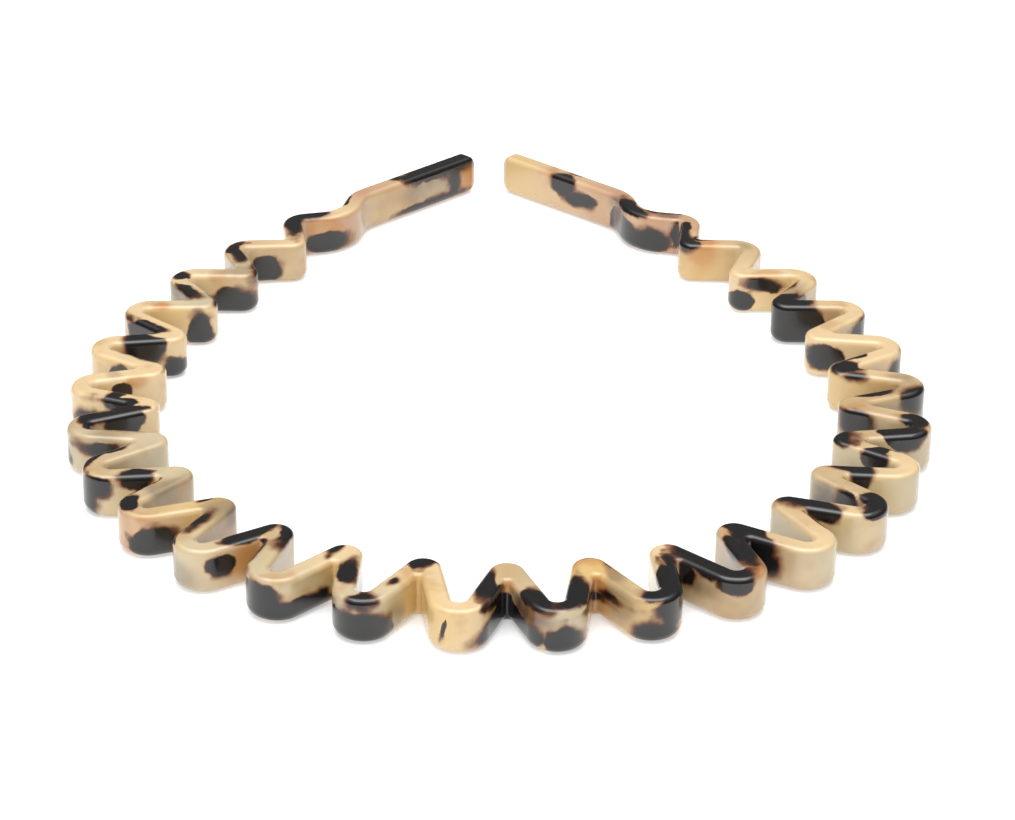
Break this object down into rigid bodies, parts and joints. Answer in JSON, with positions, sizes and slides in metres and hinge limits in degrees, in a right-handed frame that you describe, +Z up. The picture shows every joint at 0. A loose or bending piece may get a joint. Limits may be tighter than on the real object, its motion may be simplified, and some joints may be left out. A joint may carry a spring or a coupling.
{
  "type": "headband",
  "caption": "One-piece zigzag headband of tortoiseshell acetate with straight tip bars; the waves flex open to go over a head and spring back.",
  "frame": {"origin": "on the flat underside, below the middle of the band's bounding box", "axes": "+Z up through the sheet thickness, -Y towards the crown of the head, +Y towards the two tips, +X to the right-hand arm"},
  "size_m": [0.1234, 0.1534, 0.0065],
  "materials": {
    "tortoiseshell_acetate": "polished blonde tortoiseshell cellulose acetate, cream and honey with dark brown-black patches, rounded edges"
  },
  "bodies": {
    "crown": {"crown": "tortoiseshell_acetate"},
    "left_front_waves": {"left_front_waves": "tortoiseshell_acetate"},
    "left_temple_waves": {"left_temple_waves": "tortoiseshell_acetate"},
    "left_side_waves": {"left_side_waves": "tortoiseshell_acetate"},
    "left_rear_waves": {"left_rear_waves": "tortoiseshell_acetate"},
    "left_tip_arm": {"left_tip_arm": "tortoiseshell_acetate"},
    "right_front_waves": {"right_front_waves": "tortoiseshell_acetate"},
    "right_temple_waves": {"right_temple_waves": "tortoiseshell_acetate"},
    "right_side_waves": {"right_side_waves": "tortoiseshell_acetate"},
    "right_rear_waves": {"right_rear_waves": "tortoiseshell_acetate"},
    "right_tip_arm": {"right_tip_arm": "tortoiseshell_acetate"}
  },
  "joints": [
    {"name": "right_crown_flex", "type": "hinge", "parent": "crown", "child": "right_front_waves", "pos_m": [0.00672, -0.0767, 0.00325], "axis": [0, 0, -1], "range_deg": [0, 6.5], "stiffness_Nm_per_rad": 0.59},
    {"name": "right_front_flex", "type": "hinge", "parent": "right_front_waves", "child": "right_temple_waves", "pos_m": [0.03203, -0.06802, 0.00325], "axis": [0, 0, -1], "range_deg": [0, 8.2], "stiffness_Nm_per_rad": 0.44},
    {"name": "right_temple_flex", "type": "hinge", "parent": "right_temple_waves", "child": "right_side_waves", "pos_m": [0.05131, -0.04944, 0.00325], "axis": [0, 0, -1], "range_deg": [0, 6.5], "stiffness_Nm_per_rad": 0.44},
    {"name": "right_side_flex", "type": "hinge", "parent": "right_side_waves", "child": "right_rear_waves", "pos_m": [0.06095, -0.02444, 0.00325], "axis": [0, 0, -1], "range_deg": [0, 5.9], "stiffness_Nm_per_rad": 0.38},
    {"name": "right_rear_flex", "type": "hinge", "parent": "right_rear_waves", "child": "right_tip_arm", "pos_m": [0.05568, 0.01541, 0.00325], "axis": [0, 0, -1], "range_deg": [0, 3.6], "stiffness_Nm_per_rad": 0.27},
    {"name": "left_crown_flex", "type": "hinge", "parent": "crown", "child": "left_front_waves", "pos_m": [-0.00672, -0.0767, 0.00325], "axis": [0, 0, 1], "range_deg": [0, 6.5], "stiffness_Nm_per_rad": 0.59},
    {"name": "left_front_flex", "type": "hinge", "parent": "left_front_waves", "child": "left_temple_waves", "pos_m": [-0.03203, -0.06802, 0.00325], "axis": [0, 0, 1], "range_deg": [0, 8.2], "stiffness_Nm_per_rad": 0.44},
    {"name": "left_temple_flex", "type": "hinge", "parent": "left_temple_waves", "child": "left_side_waves", "pos_m": [-0.05131, -0.04944, 0.00325], "axis": [0, 0, 1], "range_deg": [0, 6.5], "stiffness_Nm_per_rad": 0.44},
    {"name": "left_side_flex", "type": "hinge", "parent": "left_side_waves", "child": "left_rear_waves", "pos_m": [-0.06095, -0.02444, 0.00325], "axis": [0, 0, 1], "range_deg": [0, 5.9], "stiffness_Nm_per_rad": 0.38},
    {"name": "left_rear_flex", "type": "hinge", "parent": "left_rear_waves", "child": "left_tip_arm", "pos_m": [-0.05568, 0.01541, 0.00325], "axis": [0, 0, 1], "range_deg": [0, 3.6], "stiffness_Nm_per_rad": 0.27}
  ],
  "couplings": [
    {"joint": "right_front_flex", "follows": "right_crown_flex", "ratio": 1.25},
    {"joint": "right_temple_flex", "follows": "right_crown_flex", "ratio": 1},
    {"joint": "right_side_flex", "follows": "right_crown_flex", "ratio": 0.9},
    {"joint": "right_rear_flex", "follows": "right_crown_flex", "ratio": 0.55},
    {"joint": "left_front_flex", "follows": "left_crown_flex", "ratio": 1.25},
    {"joint": "left_temple_flex", "follows": "left_crown_flex", "ratio": 1},
    {"joint": "left_side_flex", "follows": "left_crown_flex", "ratio": 0.9},
    {"joint": "left_rear_flex", "follows": "left_crown_flex", "ratio": 0.55}
  ]
}
